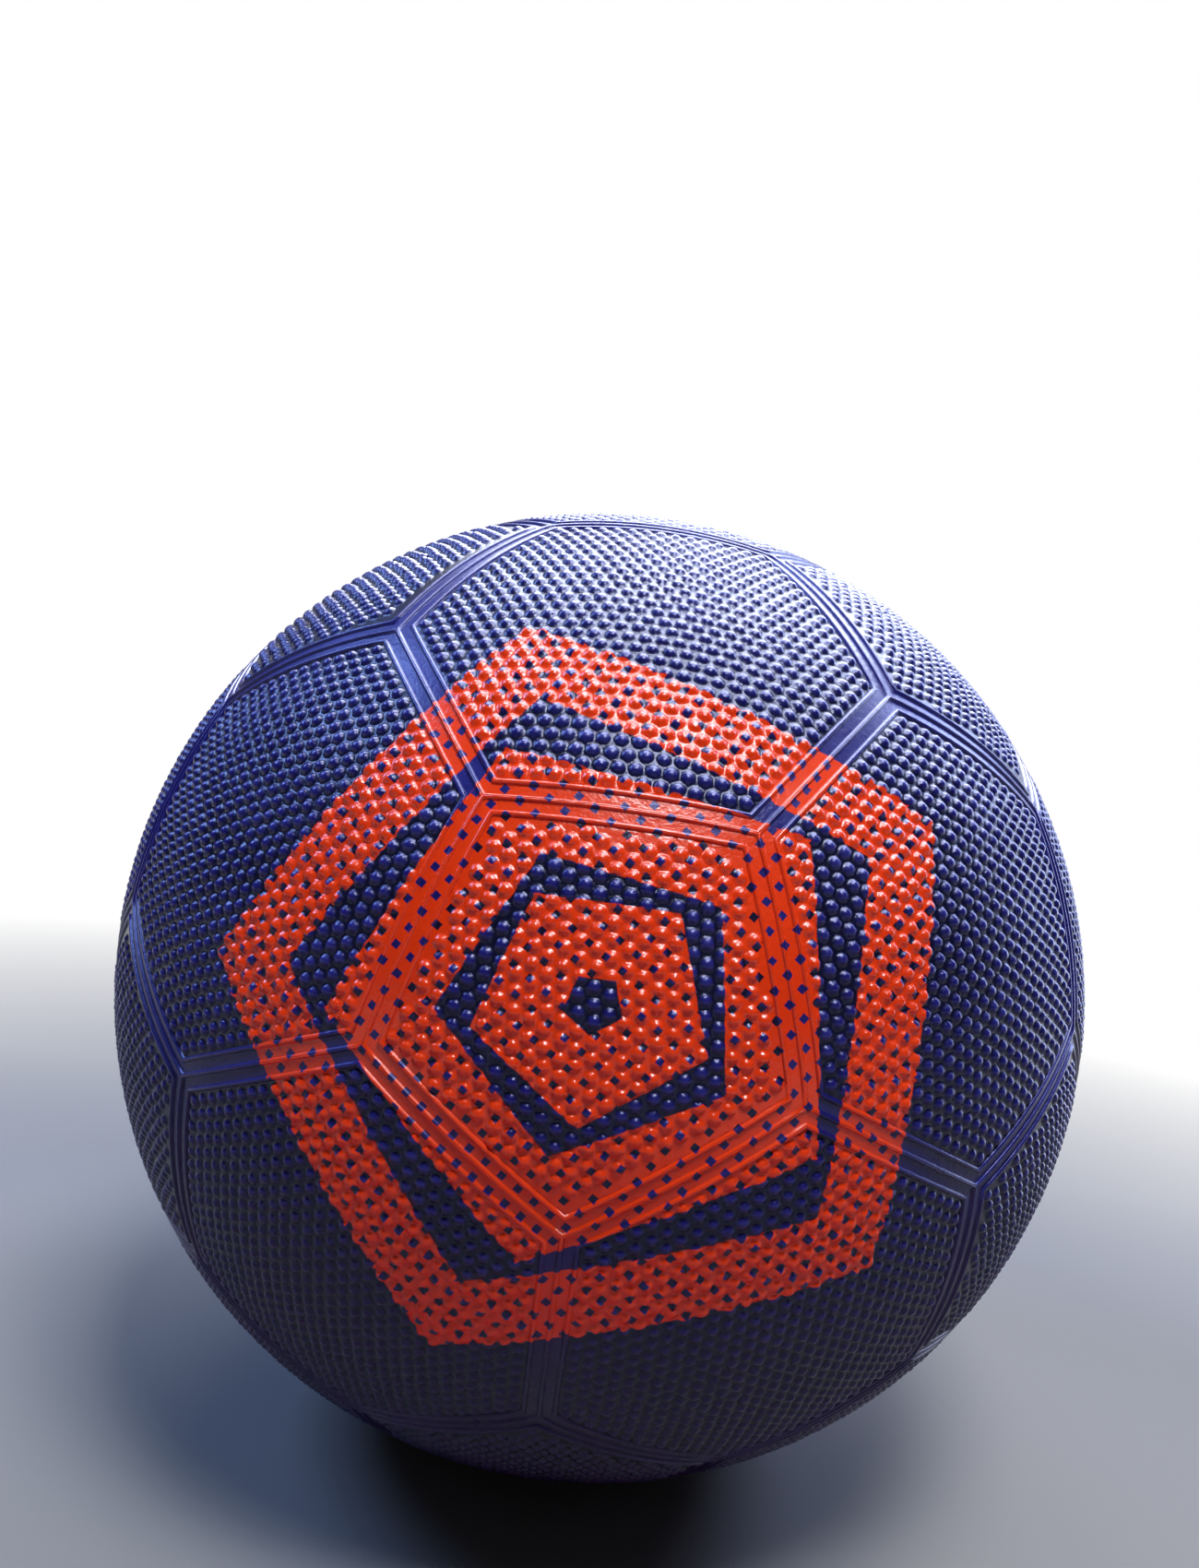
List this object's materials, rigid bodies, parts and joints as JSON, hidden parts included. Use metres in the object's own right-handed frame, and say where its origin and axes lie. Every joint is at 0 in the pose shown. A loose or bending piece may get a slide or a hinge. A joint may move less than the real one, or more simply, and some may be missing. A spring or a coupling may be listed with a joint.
{
  "type": "rubber soccer ball",
  "caption": "Moulded rubber soccer ball with pentagon and hexagon panels, ribbed seams, thread-wound carcass, bladder and a push-in inflation valve.",
  "frame": {"origin": "centre of the ball", "axes": "+Z out along the valve's axis, through the middle of the valve panel; -Y towards the front, where a pentagon lies point down a little above the equator; the ball lies on the hexagon opposite the valve"},
  "size_m": [0.2194, 0.22, 0.2195],
  "materials": {
    "cover_rubber": "satin",
    "nylon_thread": "matte",
    "butyl_rubber": "satin",
    "valve_rubber": "satin"
  },
  "bodies": {
    "ball": {"bladder": "butyl_rubber", "hexagon_panel_01": "cover_rubber", "hexagon_panel_02": "cover_rubber", "hexagon_panel_03": "cover_rubber", "hexagon_panel_04": "cover_rubber", "hexagon_panel_05": "cover_rubber", "hexagon_panel_06": "cover_rubber", "hexagon_panel_07": "cover_rubber", "hexagon_panel_08": "cover_rubber", "hexagon_panel_09": "cover_rubber", "hexagon_panel_10": "cover_rubber", "hexagon_panel_11": "cover_rubber", "hexagon_panel_12": "cover_rubber", "hexagon_panel_13": "cover_rubber", "hexagon_panel_14": "cover_rubber", "hexagon_panel_15": "cover_rubber", "hexagon_panel_16": "cover_rubber", "hexagon_panel_17": "cover_rubber", "hexagon_panel_18": "cover_rubber", "hexagon_panel_19": "cover_rubber", "pentagon_panel_01": "cover_rubber", "pentagon_panel_02": "cover_rubber", "pentagon_panel_03": "cover_rubber", "pentagon_panel_04": "cover_rubber", "pentagon_panel_05": "cover_rubber", "pentagon_panel_06": "cover_rubber", "pentagon_panel_07": "cover_rubber", "pentagon_panel_08": "cover_rubber", "pentagon_panel_09": "cover_rubber", "pentagon_panel_10": "cover_rubber", "pentagon_panel_11": "cover_rubber", "pentagon_panel_12": "cover_rubber", "thread_winding": "nylon_thread", "valve_panel": "cover_rubber", "valve_seat": "butyl_rubber"},
    "valve": {"valve_plug": "valve_rubber"}
  },
  "joints": [
    {"name": "valve_pull", "type": "slide", "parent": "ball", "child": "valve", "axis": [0, 0, 1], "range_m": [0, 0.022]}
  ]
}
